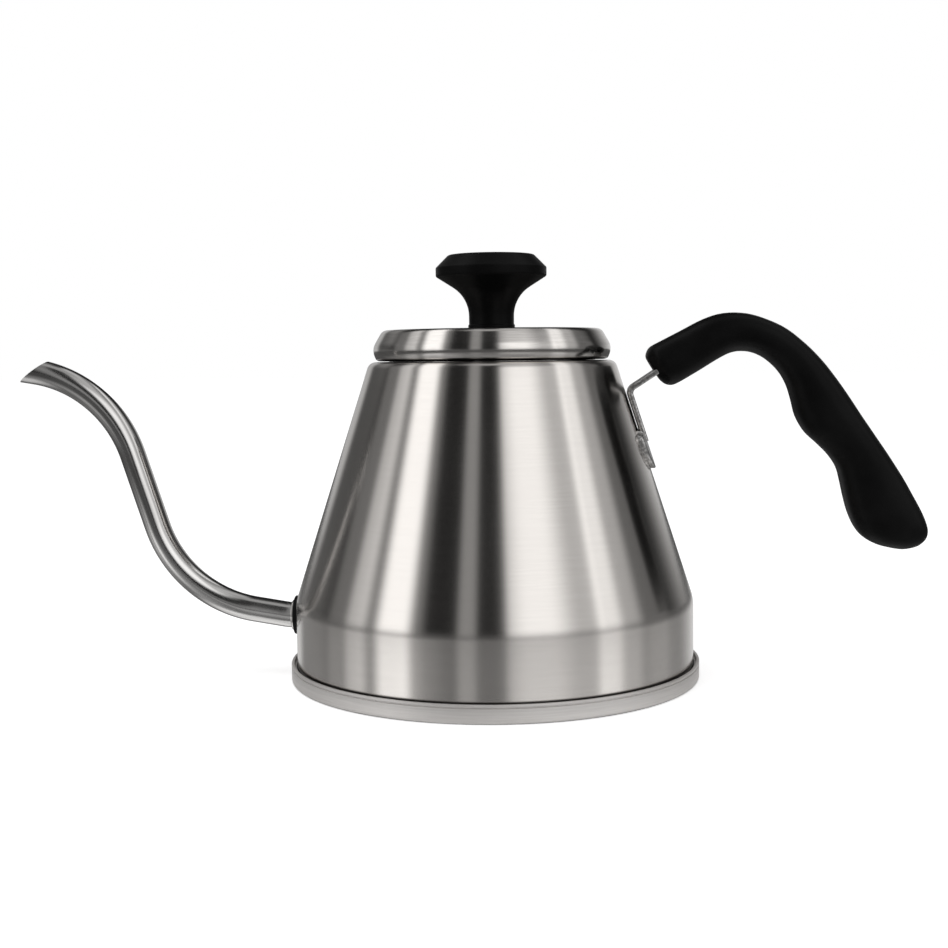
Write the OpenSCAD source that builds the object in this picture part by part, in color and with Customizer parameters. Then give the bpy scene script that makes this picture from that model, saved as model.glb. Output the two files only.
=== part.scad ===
// Gooseneck pour-over kettle for the stove top: conical steel body on a capped base,
// a bent spout tube bolted through the wall, a lift-off lid and a moulded grip on a strap.
// Millimetres, +Z up. The origin is the middle of the underside; the spout points to -X.

/* [Base] */
// Outside diameter of the rim round the base
base_d = 140; // [120:1:170]
// Height of the rim above the table
base_h = 6.1; // [5:0.1:12]
// Radial width of the folded rim
rim_w = 1.7; // [1.2:0.1:3]
// Sheet thickness of the outer cap
cap_t = 1; // [0.6:0.1:2]
// Thickness of the aluminium heat spreader
core_t = 3; // [2:0.1:6]
// Distance from the body wall to the edge of the heat spreader
core_inset = 6; // [4.5:0.5:15]
// Height of the pan's upturned edge
pan_edge_h = 6; // [3:0.5:9]

/* [Body] */
// Sheet thickness of the body, the pan and the lid
wall_t = 0.8; // [0.5:0.1:1.2]
// Groove between the rim and the body
groove_w = 0.3; // [0.2:0.05:0.6]
// Height where the lower band turns into the cone
band_top = 26.8; // [26:0.2:34]
// Radius of the soft turn from band to cone
shoulder_round = 14; // [4:1:24]
// Height of the body
body_h = 107.8; // [100:0.2:125]
// Width of the flat top, from the mouth to the cone
crown_lip = 6.25; // [5:0.05:8]
// Radius of the top corner
crown_round = 3; // [2:0.2:4]
// Clear diameter of the mouth
mouth_d = 71; // [66:0.5:80]
// Depth of the turned-down mouth collar
collar_h = 4; // [3:0.5:8]

/* [Lid] */
// Reach of the lid past the edge of the mouth
lid_reach = 4.75; // [3.5:0.05:5.6]
// Height of the lid from its seat to its flat top
lid_h = 10.4; // [9:0.1:14]
// Lean of the lid's side from upright, in degrees
lid_lean = 30; // [20:1:35]
// Gap under the resting lid
seat_gap = 0.3; // [0.2:0.05:0.5]
// Gap between the skirt and the mouth
skirt_gap = 0.5; // [0.3:0.05:1]
// Depth of the skirt below the seat
skirt_depth = 9; // [6:0.5:15]
// Diameter of the steam vent
vent_d = 3; // [2:0.5:5]

/* [Knob] */
// Widest diameter of the knob
knob_d = 37.6; // [32:0.2:44]
// Height of the knob
knob_h = 24.9; // [23:0.1:32]
// Diameter of the knob's stem
stem_d = 15.3; // [13:0.1:18]
// Thickness of the seal under the knob
knob_seal_t = 0.5; // [0.3:0.1:1]
// Radius of the hollow under the knob's edge
knob_hollow = 11.5; // [8:0.5:12]

/* [Spout] */
// Outside diameter of the spout tube
tube_d = 8.9; // [8:0.1:9.6]
// Wall thickness of the spout tube
tube_t = 0.8; // [0.5:0.1:1]
// Height of the spout's hole in the body
spout_z = 20.1; // [18.4:0.1:21]
// Rise of the tube where it leaves the body, in degrees
root_rise = 9.3; // [4:0.1:14]
// Straight length after the root
root_len = 11.3; // [6:0.1:20]
// Radius of both long bends
bend_r = 43; // [36:0.5:50]
// Turn of each long bend, in degrees
bend_turn = 63; // [56:0.5:70]
// Straight length between the long bends
mid_len = 26.2; // [16:0.2:40]
// Angle between the mouth cut and the tube, in degrees
tip_cut = 45; // [38:1:60]
// Diameter of the rubber gasket on the body
gasket_d = 13.4; // [12.6:0.1:14]
// Thickness of the rubber gasket
gasket_t = 1.6; // [1:0.1:2.2]
// Diameter of the stop collar on the tube
stop_d = 10.6; // [10.2:0.1:12]

/* [Handle] */
// Thickness of the strap
strap_t = 1.8; // [1.4:0.1:2.2]
// Width of the strap's neck
strap_w = 14; // [12:0.5:16]
// Width of the foot welded to the body
foot_w = 23; // [20:0.5:30]
// Height of the foot's lowest point
foot_z = 71; // [66:0.5:74]
// Height where the foot narrows to the neck
foot_top = 83; // [82:0.5:86]
// Height of the bend in the strap
bend_z = 96.6; // [94:0.2:98]
// Inner radius of the bend in the strap
strap_bend = 1.5; // [1:0.1:4]
// Distance from the bend to the grip
neck_reach = 9.9; // [8:0.1:14]
// Rise of the tang and the grip, in degrees
tang_rise = 33; // [28:0.5:38]
// Length of the tang inside the grip
tang_len = 24; // [20:0.5:26]
// Width of the grip
grip_w = 19; // [17:0.5:24]
// Length of the grip, square to the tang
grip_len = 105.2; // [94:0.2:118]

/* [Hidden] */

FINE = 192;     // roundness of the large turned shapes
ROUND = 48;     // roundness of tubes, holes and screws
ARC = 7;        // points on each rounded corner of an outline
LAP = 0.2;      // the tube's straights sleeve over the ends of its bends by this much,
SLEEVE = 0.1;   // and are this much wider, because the bends draw the tube down a little

base_r = base_d / 2;
band_r = base_r - rim_w - groove_w;
mouth_r = mouth_d / 2;
crown_r = mouth_r + crown_lip;
lid_r = mouth_r + lid_reach;
cone_slope = (band_r - crown_r) / (body_h - band_top);
cone_lean = atan(cone_slope);
function cone_r(z) = band_r - cone_slope * (z - band_top);

// ---- outlines ------------------------------------------------------------
function unit(v) = v / norm(v);
function left(v) = [-v[1], v[0]];
// points of the arc that rounds corner b between a and c
function corner(a, b, c, r) =
  let (u = unit(a - b), v = unit(c - b), half = acos(u * v) / 2,
       reach = r / tan(half), mid = b + unit(u + v) * r / sin(half),
       p = b + u * reach - mid, q = b + v * reach - mid,
       turn = 180 - 2 * half, side = sign(p[0] * q[1] - p[1] * q[0]))
  [for (i = [0 : ARC]) let (k = side * turn * i / ARC)
    mid + [p[0] * cos(k) - p[1] * sin(k), p[0] * sin(k) + p[1] * cos(k)]];
// a path of [x, y, rounding] with its corners rounded
function smooth_path(p) = [for (i = [0 : len(p) - 1])
  let (here = [p[i][0], p[i][1]])
  each (i == 0 || i == len(p) - 1 || p[i][2] <= 0) ? [here]
    : corner([p[i - 1][0], p[i - 1][1]], here, [p[i + 1][0], p[i + 1][1]], p[i][2])];
// the same path moved to its left by t, with every rounding kept concentric
function beside(p, t) = [for (i = [0 : len(p) - 1])
  let (n = len(p) - 1, here = [p[i][0], p[i][1]],
       d0 = unit(i > 0 ? here - [p[i - 1][0], p[i - 1][1]] : [p[1][0], p[1][1]] - here),
       d1 = unit(i < n ? [p[i + 1][0], p[i + 1][1]] - here : d0),
       n0 = left(d0), n1 = left(d1), bend = d0[0] * d1[1] - d0[1] * d1[0],
       at = here + (n0 + n1) * t / (1 + n0 * n1))
  [at[0], at[1], p[i][2] <= 0 ? 0 : max(0.05, p[i][2] - sign(bend) * t)]];
function backward(p) = [for (i = [len(p) - 1 : -1 : 0]) p[i]];
function sheet(p, t) = concat(smooth_path(p), backward(smooth_path(beside(p, t))));

module spin(points) { rotate_extrude($fn = FINE) polygon(points); }
module rod(d, from, to) { translate([0, 0, from]) cylinder(d = d, h = to - from, $fn = ROUND); }
module ring_of(d_out, d_in, from, to) {
  difference() { rod(d_out, from, to); rod(d_in, from - 1, to + 1); }
}

// ---- body ----------------------------------------------------------------
mouth_round = 1.4;
under_crown = body_h - 8;   // where the outline for the fitted layers stops
body_line = [[band_r, cap_t, 0], [band_r, band_top, shoulder_round],
             [crown_r, body_h, crown_round], [mouth_r, body_h, mouth_round],
             [mouth_r, body_h - collar_h, 0]];
// the wall's outline up to just under the crown, moved outwards by t
function wall_line(t) = smooth_path(beside(
  [[band_r, cap_t, 0], [band_r, band_top, shoulder_round], [cone_r(under_crown), under_crown, 0]], -t));

hole_gap = 0.2;
module spout_axis() { translate([0, 0, spout_z]) rotate([0, -90, 0]) children(); }

module body_shell() color([0.72, 0.72, 0.71]) difference() {
  spin(sheet(body_line, wall_t));
  spout_axis() rod(stub_d + 2 * hole_gap, band_r - 6, band_r + 6);
}

pan_z = cap_t + core_t;
pan_r = band_r - wall_t;
pan_round = 2.8;
pan_line = [[pan_r, pan_z + pan_edge_h, 0], [pan_r, pan_z, pan_round], [0, pan_z, 0]];
module bottom_pan() color([0.75, 0.75, 0.74])
  spin(sheet(pan_line, -wall_t));

module base_core() color([0.8, 0.8, 0.82])
  translate([0, 0, cap_t]) cylinder(r = pan_r - core_inset, h = core_t, $fn = FINE);

rim_round = 0.6;
cap_round = 1.1;
cap_line = [[0, 0, 0], [base_r, 0, cap_round], [base_r, base_h, rim_round],
            [base_r - rim_w, base_h, rim_round], [base_r - rim_w, cap_t, 0], [0, cap_t, 0]];
module base_cap() color([0.7, 0.7, 0.69])
  spin(smooth_path(cap_line));

// ---- spout ---------------------------------------------------------------
tube_in = tube_d - 2 * tube_t;
stub_d = tube_d + SLEEVE;   // the straight stub that passes through the wall
stop_t = 1;
seal_t = 2.1;
washer_t = 0.9;
nut_t = 3;
stub_end = band_r - wall_t - seal_t - washer_t - nut_t - 1;
root_x = band_r + gasket_t + stop_t;
root_bend = 14;

module tube_ring(more = 0) {
  difference() {
    circle(d = tube_d + more, $fn = ROUND);
    circle(d = tube_in - more, $fn = ROUND);
  }
}
// one straight or one bend of the tube; the children carry on from its far end
module straight(length) {
  translate([0, 0, -LAP]) linear_extrude(length + 2 * LAP) tube_ring(SLEEVE);
  translate([0, 0, length]) children();
}
module bend(r, turn) {
  translate([-r, 0, 0]) rotate([90, 0, 0])
    rotate_extrude(angle = turn, $fn = FINE) translate([r, 0]) tube_ring();
  translate([-r, 0, 0]) rotate([0, -turn, 0]) translate([r, 0, 0]) children();
}
module bend_back(r, turn) { mirror([1, 0, 0]) bend(r, turn) mirror([1, 0, 0]) children(); }

// far end of the tube: [distance out, height above the hole, heading above level]
lean_mid = root_rise + bend_turn;
tip_out = root_x + root_bend * sin(root_rise) + root_len * cos(root_rise)
  + bend_r * (sin(lean_mid) - sin(root_rise)) + mid_len * cos(lean_mid)
  + bend_r * (sin(lean_mid) - sin(root_rise));
tip_up = root_bend * (1 - cos(root_rise)) + root_len * sin(root_rise)
  + 2 * bend_r * (cos(root_rise) - cos(lean_mid)) + mid_len * sin(lean_mid);

module spout_tube() color([0.68, 0.68, 0.66]) difference() {
  spout_axis() translate([0, 0, stub_end]) straight(root_x - stub_end)
    bend_back(root_bend, root_rise) straight(root_len) bend_back(bend_r, bend_turn)
    straight(mid_len) bend(bend_r, bend_turn) straight(tube_d);
  translate([-tip_out, 0, spout_z + tip_up]) rotate([0, root_rise - tip_cut, 0])
    translate([-6 * tube_d, -2 * tube_d, 0]) cube([9, 4, 4] * tube_d);
}

// a slice of the band that lies from t0 to t1 outside the body wall
module wall_layer(t0, t1) { spin(concat(wall_line(t0), backward(wall_line(t1)))); }
module spout_stop() color([0.75, 0.75, 0.74]) difference() {
  intersection() {
    wall_layer(gasket_t, gasket_t + stop_t);
    spout_axis() rod(stop_d, band_r - 4, band_r + 8);
  }
  spout_axis() rod(stub_d, band_r - 6, band_r + 10);
}
module spout_gasket() color([0.05, 0.05, 0.05]) difference() {
  intersection() {
    wall_layer(0, gasket_t);
    spout_axis() rod(gasket_d, band_r - 4, band_r + 8);
  }
  spout_axis() rod(stub_d, band_r - 6, band_r + 10);
}
inner_d = 14.6;
seal_face = band_r - wall_t - seal_t;
module spout_inner_seal() color([0.1, 0.1, 0.1]) difference() {
  intersection() {
    wall_layer(-wall_t - seal_t - 1, -wall_t);
    spout_axis() rod(inner_d, seal_face, band_r);
  }
  spout_axis() rod(stub_d, seal_face - 1, band_r + 1);
}
module spout_washer() color([0.75, 0.75, 0.74])
  spout_axis() ring_of(inner_d, stub_d + 0.2, seal_face - washer_t, seal_face);
nut_face = seal_face - washer_t;
nut_flats = 13;
module spout_nut() color([0.72, 0.68, 0.5]) spout_axis() difference() {
  translate([0, 0, nut_face - nut_t]) cylinder(d = nut_flats / cos(30), h = nut_t, $fn = 6);
  rod(stub_d, nut_face - nut_t - 1, nut_face + 1);
}

// ---- lid -----------------------------------------------------------------
seat_z = body_h + seat_gap;
lid_top = seat_z + lid_h;
lid_belly = 3.55;   // height of the lid's widest line above its seat
lid_tuck = 22;      // lean of the lid's side from that line down to its edge, in degrees
lid_turn_in = 3;    // width of the edge turned in under the lid
edge_round = 1.6;
belly_round = 5;
lid_top_round = 2.8;
// the corner whose rounding has its widest point at lid_r and at the height of the belly
belly_half = (lid_lean + lid_tuck) / 2;
belly_tilt = (lid_lean - lid_tuck) / 2;
belly_at = [lid_r + belly_round * (cos(belly_tilt) / cos(belly_half) - 1),
            seat_z + lid_belly + belly_round * sin(belly_tilt) / cos(belly_half)];
lid_line = [[lid_r - lid_turn_in, seat_z, 0],
            [belly_at[0] - (belly_at[1] - seat_z) * tan(lid_tuck), seat_z, edge_round],
            [belly_at[0], belly_at[1], belly_round],
            [belly_at[0] - (lid_top - belly_at[1]) * tan(lid_lean), lid_top, lid_top_round],
            [0, lid_top, 0]];
vent_out = 22;
screw_hole = 4.4;
module lid_shell() color([0.74, 0.74, 0.73]) difference() {
  spin(sheet(lid_line, wall_t));
  rod(screw_hole, lid_top - 3, lid_top + 3);
  translate([0, vent_out, 0]) rod(vent_d, lid_top - 3, lid_top + 3);
}
skirt_r = mouth_r - skirt_gap;
skirt_t = 0.7;
module lid_skirt() color([0.74, 0.74, 0.73])
  ring_of(2 * skirt_r, 2 * (skirt_r - skirt_t), seat_z - skirt_depth, lid_top - wall_t);

// ---- knob ----------------------------------------------------------------
knob_z = lid_top + knob_seal_t;
knob_r = knob_d / 2;
stem_r = stem_d / 2;
knob_band = 4.6;   // from the knob's top down to the sharp upper edge of its band
band_w = 2.9;      // height of the upright band
under_lean = 57.6;
foot_bead = 0.3;   // the stem's foot is wider than the stem by this much
bead_h = 0.9;
crown_dip = 0.3;   // fall of the knob's top from its middle to its edge
edge_low = knob_h - knob_band - band_w;
knob_line = [[0, 0, 0], [stem_r + foot_bead, 0, 0.3], [stem_r + foot_bead, bead_h, 0.2],
             [stem_r, bead_h + 0.4, 0.2],
             [stem_r, edge_low - (knob_r - stem_r) / tan(under_lean), knob_hollow],
             [knob_r, edge_low, 0.9], [knob_r, edge_low + band_w, 0.6],
             [knob_r - knob_band + crown_dip, knob_h - crown_dip, 1.5], [0, knob_h, 0]];
insert_d = 7;
insert_l = 10;
thread_d = 4;
seal_inset = 0.5;
module lid_knob() color([0.03, 0.03, 0.03]) difference() {
  translate([0, 0, knob_z]) spin(smooth_path(knob_line));
  rod(insert_d, knob_z - 1, knob_z + insert_l);
}
module knob_insert() color([0.75, 0.6, 0.3])
  ring_of(insert_d, thread_d, knob_z, knob_z + insert_l);
module knob_seal() color([0.1, 0.1, 0.1])
  ring_of(stem_d - 2 * seal_inset, screw_hole, lid_top, knob_z);
lid_under = lid_top - wall_t;
knob_washer_d = 12;
knob_washer_t = 1;
module knob_washer() color([0.75, 0.75, 0.74])
  ring_of(knob_washer_d, screw_hole, lid_under - knob_washer_t, lid_under);
screw_d = 3.9;
screw_short = 1.5;   // the knob's screw ends this far short of its insert's end
// a screw that stands on Z: its head below z = 0, its shank up to z = reach, a cross cut into the head
recess_w = 1;
recess_deep = 1;
module screw(head_d, head_h, reach) {
  difference() {
    union() {
      rod(head_d, -head_h, 0);
      rod(screw_d, -head_h / 2, reach);
    }
    for (turn = [0, 90]) rotate([0, 0, turn]) translate([-head_d * 0.37, -recess_w / 2, -head_h - 1])
      cube([head_d * 0.74, recess_w, recess_deep + 1]);
  }
}
knob_head_d = 8;
knob_head_h = 2.4;
head_z = lid_under - knob_washer_t;
module knob_screw() color([0.7, 0.7, 0.7]) translate([0, 0, head_z])
  screw(knob_head_d, knob_head_h, knob_z + insert_l - screw_short - head_z);

// ---- handle --------------------------------------------------------------
neck_gap = 0.3;
foot_overlap = 3;   // the neck starts this far below the top of the foot
strap_out = neck_gap + strap_t;
out = [cos(cone_lean), sin(cone_lean)];
along = [cos(tang_rise), sin(tang_rise)];
// outer face of the neck: up beside the cone, round the bend, out along the tang
neck_root = [cone_r(foot_top - foot_overlap), foot_top - foot_overlap] + out * strap_out;
bend_at = [cone_r(bend_z), bend_z] + out * strap_out;
grip_face = bend_at + along * neck_reach;
tang_end = grip_face + along * tang_len;
neck_line = [[neck_root[0], neck_root[1], 0], [bend_at[0], bend_at[1], strap_bend],
             [tang_end[0], tang_end[1], 0]];
// stands children on the strap where it enters the grip: X along the tang, Z off its face
module tang_frame() { translate([grip_face[0], 0, grip_face[1]]) rotate([0, -tang_rise, 0]) children(); }
module across(width) { rotate([90, 0, 0]) translate([0, 0, -width / 2]) linear_extrude(width) children(); }

foot_corner = 2;
foot_round = min(foot_top - foot_z - foot_corner, foot_w / 2) - 0.2;
foot_line = [[strap_w / 2, foot_top + 1, 0], [strap_w / 2, foot_top, 0.9],
             [foot_w / 2, foot_top, foot_corner], [foot_w / 2, foot_z, foot_round], [0, foot_z, 0]];
screw_at = 12;
module handle_bracket() color([0.55, 0.55, 0.53]) difference() {
  union() {
    intersection() {
      wall_layer(0, strap_t);
      rotate([90, 0, 90]) linear_extrude(base_r) for (side = [0, 1]) mirror([side, 0])
        polygon(concat(smooth_path(foot_line), [[-0.1, foot_z], [-0.1, foot_top + 1]]));
    }
    across(strap_w) polygon(sheet(neck_line, strap_t));
  }
  tang_frame() translate([screw_at, 0, 0]) rod(screw_d + 0.4, -3, strap_t + 3);
}

// cross-sections of the grip in the tang's frame: lower point, upper point, share of the width
grip_ribs = [
  [0, -1, 0, 5, 0.56], [0, -2.5, 0.2, 7, 0.64], [0.8, -4.5, 1.6, 8.4, 0.78], [2.6, -5.9, 3.6, 9, 0.98],
  [6, -6.4, 8, 8.6, 1], [13, -6.7, 14.6, 7.9, 1], [20, -6.9, 23, 7, 1], [24.5, -7.5, 29.6, 5, 1],
  [28, -9.2, 35.8, 0.8, 1], [31, -12, 40.4, -4.6, 1], [33.2, -16, 44.2, -11, 1],
  [34.5, -21.5, 46.8, -19, 1], [34.2, -27, 48.2, -26, 1], [32.8, -32, 48.8, -32, 1],
  [31, -37.5, 49.1, -37.5, 1], [30.7, -43.5, 49.2, -43, 1], [32, -49, 49.2, -49, 1],
  [33.1, -54.5, 49.3, -54.5, 1], [33.1, -59.5, 49.4, -59.5, 1], [31.7, -64, 49.5, -64, 1],
  [30, -68.5, 49.5, -69, 1], [28.2, -74, 49.4, -74.5, 1], [27.3, -79.5, 49, -80.5, 1],
  [27.8, -84, 48.5, -86.5, 1], [29.8, -88, 47.8, -90.5, 0.97], [32.6, -91.2, 46.8, -93.4, 0.88],
  [35.6, -93.9, 45, -95.3, 0.7], [38.5, -95.4, 42.4, -96.2, 0.4]];
RIB_STEPS = 2;
SIDES = 32;
squareness = 2.8;
// smooth run through the ribs, which are drawn large or small to give the grip its length
grip_size = grip_len / (max([for (g = grip_ribs) g[3]]) - min([for (g = grip_ribs) g[3]]));
rib_size = [grip_size, grip_size, grip_size, grip_size, 1];
function knot(k) = let (g = grip_ribs[max(0, min(len(grip_ribs) - 1, k))])
  [for (i = [0 : 4]) g[i] * rib_size[i]];
function blend(k, t) = let (a = knot(k - 1), b = knot(k), c = knot(k + 1), d = knot(k + 2))
  (2 * b + (c - a) * t + (2 * a - 5 * b + 4 * c - d) * t * t + (3 * b - a - 3 * c + d) * t * t * t) / 2;
grip_rows = [for (k = [0 : len(grip_ribs) - 2], s = [0 : RIB_STEPS - 1]) blend(k, s / RIB_STEPS),
             knot(len(grip_ribs) - 1)];
function bulge(v) = sign(v) * pow(abs(v), 2 / squareness);
function rib_ring(g) = [for (i = [0 : SIDES - 1])
  let (w = 360 * i / SIDES, h = (1 + bulge(sin(w))) / 2)
  [g[0] + (g[2] - g[0]) * h, bulge(cos(w)) * g[4] * grip_w / 2, g[1] + (g[3] - g[1]) * h]];
module loft(rows) {
  n = len(rows);
  points = [for (g = rows) each rib_ring(g)];
  walls = [for (r = [0 : n - 2], i = [0 : SIDES - 1]) let (j = (i + 1) % SIDES)
    each [[r * SIDES + j, r * SIDES + i, (r + 1) * SIDES + j],
          [(r + 1) * SIDES + j, r * SIDES + i, (r + 1) * SIDES + i]]];
  near = [[for (i = [0 : SIDES - 1]) i]];
  far = [[for (i = [SIDES - 1 : -1 : 0]) (n - 1) * SIDES + i]];
  polyhedron(points = points, faces = concat(walls, near, far), convexity = 6);
}

slot_gap = 0.15;
head_d = 7;
head_h = 2.2;
head_seat = -3.7;
grip_insert_d = 5.6;
insert_top = 6.2;
module handle_grip() color([0.03, 0.03, 0.03]) tang_frame() difference() {
  loft(grip_rows);
  translate([-1, -strap_w / 2 - slot_gap, -slot_gap])
    cube([tang_len + 1 + slot_gap, strap_w + 2 * slot_gap, strap_t + 2 * slot_gap]);
  translate([screw_at, 0, 0]) {
    rod(head_d + 0.6, -12, head_seat);
    rod(screw_d + 0.4, head_seat - 1, 1);
    rod(grip_insert_d, 1, insert_top);
  }
}
module grip_insert() color([0.75, 0.6, 0.3]) tang_frame() translate([screw_at, 0, 0])
  ring_of(grip_insert_d, thread_d, strap_t + slot_gap, insert_top);
module grip_screw() color([0.7, 0.7, 0.7]) tang_frame() translate([screw_at, 0, head_seat])
  screw(head_d, head_h, insert_top - 0.6 - head_seat);

body_shell();
bottom_pan();
base_core();
base_cap();
spout_tube();
spout_stop();
spout_gasket();
spout_inner_seal();
spout_washer();
spout_nut();
lid_shell();
lid_skirt();
lid_knob();
knob_insert();
knob_seal();
knob_washer();
knob_screw();
handle_bracket();
handle_grip();
grip_insert();
grip_screw();
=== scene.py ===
import math

import bmesh
import bpy
import numpy as np
from mathutils import Matrix, Vector


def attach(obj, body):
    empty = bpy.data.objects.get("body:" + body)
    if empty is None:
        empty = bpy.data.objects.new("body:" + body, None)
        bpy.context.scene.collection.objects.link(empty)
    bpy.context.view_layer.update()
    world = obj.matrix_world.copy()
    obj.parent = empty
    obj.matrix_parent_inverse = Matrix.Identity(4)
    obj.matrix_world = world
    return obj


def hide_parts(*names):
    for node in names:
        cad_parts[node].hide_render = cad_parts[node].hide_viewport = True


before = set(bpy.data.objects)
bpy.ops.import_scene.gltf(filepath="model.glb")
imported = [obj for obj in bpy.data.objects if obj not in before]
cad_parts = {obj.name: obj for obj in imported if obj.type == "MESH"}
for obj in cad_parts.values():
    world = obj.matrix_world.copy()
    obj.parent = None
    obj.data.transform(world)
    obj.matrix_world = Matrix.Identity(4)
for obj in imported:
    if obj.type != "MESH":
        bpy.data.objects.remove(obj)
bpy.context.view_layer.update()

# ---- Body ---------------------------------------------------------------------------
# The water vessel: one sheet of stainless steel, pressed and spun to a cone with an upright
# lower band, a rounded crown and a mouth turned down inside. It is brushed on the lathe, so
# its fine lines run round it.
MM = 0.001   # a millimetre, in the scene's metres


def arc_corner(a, b, c, radius, steps):
    """Points of the arc that rounds corner b between a and c."""
    back, onward = (a - b) / np.linalg.norm(a - b), (c - b) / np.linalg.norm(c - b)
    half = math.acos(float(np.clip(back @ onward, -1, 1))) / 2
    centre = b + (back + onward) / np.linalg.norm(back + onward) * radius / math.sin(half)
    first = b + back * radius / math.tan(half) - centre
    last = b + onward * radius / math.tan(half) - centre
    turn = (math.pi - 2 * half) * np.sign(first[0] * last[1] - first[1] * last[0])
    angles = turn * np.arange(steps + 1) / steps
    return [centre + [first[0] * math.cos(angle) - first[1] * math.sin(angle),
                      first[0] * math.sin(angle) + first[1] * math.cos(angle)] for angle in angles]


def rounded(path, steps=10):
    """A path of (x, y, rounding) in millimetres with its corners rounded."""
    points = [np.array(corner[:2], float) for corner in path]
    line = [points[0]]
    for i in range(1, len(path) - 1):
        if path[i][2] > 0:
            line += arc_corner(points[i - 1], points[i], points[i + 1], path[i][2], steps)
        else:
            line.append(points[i])
    return line + [points[-1]]


def beside(path, shift):
    """The path moved to its left by shift, with its roundings kept concentric."""
    least_round = 0.05
    points = [np.array(corner[:2], float) for corner in path]
    runs = [(b - a) / np.linalg.norm(b - a) for a, b in zip(points, points[1:])]
    moved = []
    for i, here in enumerate(points):
        before, after = runs[max(i - 1, 0)], runs[min(i, len(runs) - 1)]
        left0, left1 = np.array([-before[1], before[0]]), np.array([-after[1], after[0]])
        bend = np.sign(before[0] * after[1] - before[1] * after[0])
        at = here + (left0 + left1) * shift / (1 + left0 @ left1)
        rounding = max(least_round, path[i][2] - bend * shift) if path[i][2] > 0 else 0
        moved.append((at[0], at[1], rounding))
    return moved


def sheet(path, thickness):
    """The closed outline of a sheet: the path, and back along its left side."""
    return rounded(path) + rounded(beside(path, thickness))[::-1]


def fine(outline, longest):
    """The closed outline with no side longer than longest, in millimetres."""
    made = []
    for a, b in zip(outline, outline[1:] + outline[:1]):
        parts = max(1, math.ceil(np.linalg.norm(b - a) / longest))
        made += [a + (b - a) * i / parts for i in range(parts)]
    return made


def piece_of(name, mesh_data):
    """A new object at the origin for a finished bmesh."""
    mesh = bpy.data.meshes.new(name)
    mesh_data.to_mesh(mesh)
    mesh_data.free()
    obj = bpy.data.objects.new(name, mesh)
    bpy.context.scene.collection.objects.link(obj)
    return obj


def smooth(obj, crease=math.radians(38)):
    """Smooth shading, with edges sharper than the crease kept sharp."""
    obj.data.polygons.foreach_set("use_smooth", [True] * len(obj.data.polygons))
    obj.data.set_sharp_from_angle(angle=crease)
    return obj


def turned(name, outline, around=256, crease=math.radians(38)):
    """A lathe-turned piece: a closed outline of (radius, height) in millimetres, once round Z."""
    on_axis = 1e-6
    bm = bmesh.new()
    rows = []
    for radius, height in outline:
        if radius < on_axis:
            rows.append([bm.verts.new((0, 0, height * MM))] * around)
            continue
        rows.append([bm.verts.new((radius * MM * math.cos(turn), radius * MM * math.sin(turn), height * MM))
                     for turn in (2 * math.pi * k / around for k in range(around))])
    for low, high in zip(rows, rows[1:] + rows[:1]):
        for k in range(around):
            j = (k + 1) % around
            corners = list(dict.fromkeys((low[k], low[j], high[j], high[k])))
            if len(corners) > 2:
                bm.faces.new(corners)
    bmesh.ops.recalc_face_normals(bm, faces=bm.faces)
    return smooth(piece_of(name, bm), crease)


def bored(obj, radius, start, end):
    """The piece with a round hole through it, from start to end in millimetres."""
    a, b = Vector(start) * MM, Vector(end) * MM
    place = Matrix.Translation((a + b) / 2) @ (b - a).to_track_quat("Z", "Y").to_matrix().to_4x4()
    bit = bmesh.new()
    bmesh.ops.create_cone(bit, cap_ends=True, segments=48, radius1=radius * MM, radius2=radius * MM,
                          depth=(b - a).length, matrix=place)
    drill = piece_of("drill", bit)
    hole = obj.modifiers.new("hole", "BOOLEAN")
    hole.operation, hole.solver, hole.object = "DIFFERENCE", "EXACT", drill
    made = bpy.data.meshes.new_from_object(obj.evaluated_get(bpy.context.evaluated_depsgraph_get()))
    obj.modifiers.clear()
    obj.data = made
    bpy.data.objects.remove(drill)
    return smooth(obj)


class Signal:
    """A shader socket that adds, multiplies and so on as a number does."""

    def __init__(self, finish, socket):
        self.finish, self.socket = finish, socket

    def maths(self, operation, *values):
        return self.finish.add("ShaderNodeMath", {"operation": operation}, dict(enumerate(values)))

    def __add__(self, other):
        return self.maths("ADD", self, other)

    def __radd__(self, other):
        return self.maths("ADD", other, self)

    def __sub__(self, other):
        return self.maths("SUBTRACT", self, other)

    def __rsub__(self, other):
        return self.maths("SUBTRACT", other, self)

    def __mul__(self, other):
        return self.maths("MULTIPLY", self, other)

    def __rmul__(self, other):
        return self.maths("MULTIPLY", other, self)

    def __truediv__(self, other):
        return self.maths("DIVIDE", self, other)

    def __rtruediv__(self, other):
        return self.maths("DIVIDE", other, self)

    def __pow__(self, other):
        return self.maths("POWER", self, other)

    def __rpow__(self, other):
        return self.maths("POWER", other, self)

    def between(self, low, high):
        """0 at low, 1 at high, and smooth between."""
        return self.finish.add("ShaderNodeMapRange", {"interpolation_type": "SMOOTHSTEP"},
                               {"Value": self, "From Min": low, "From Max": high})


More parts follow.
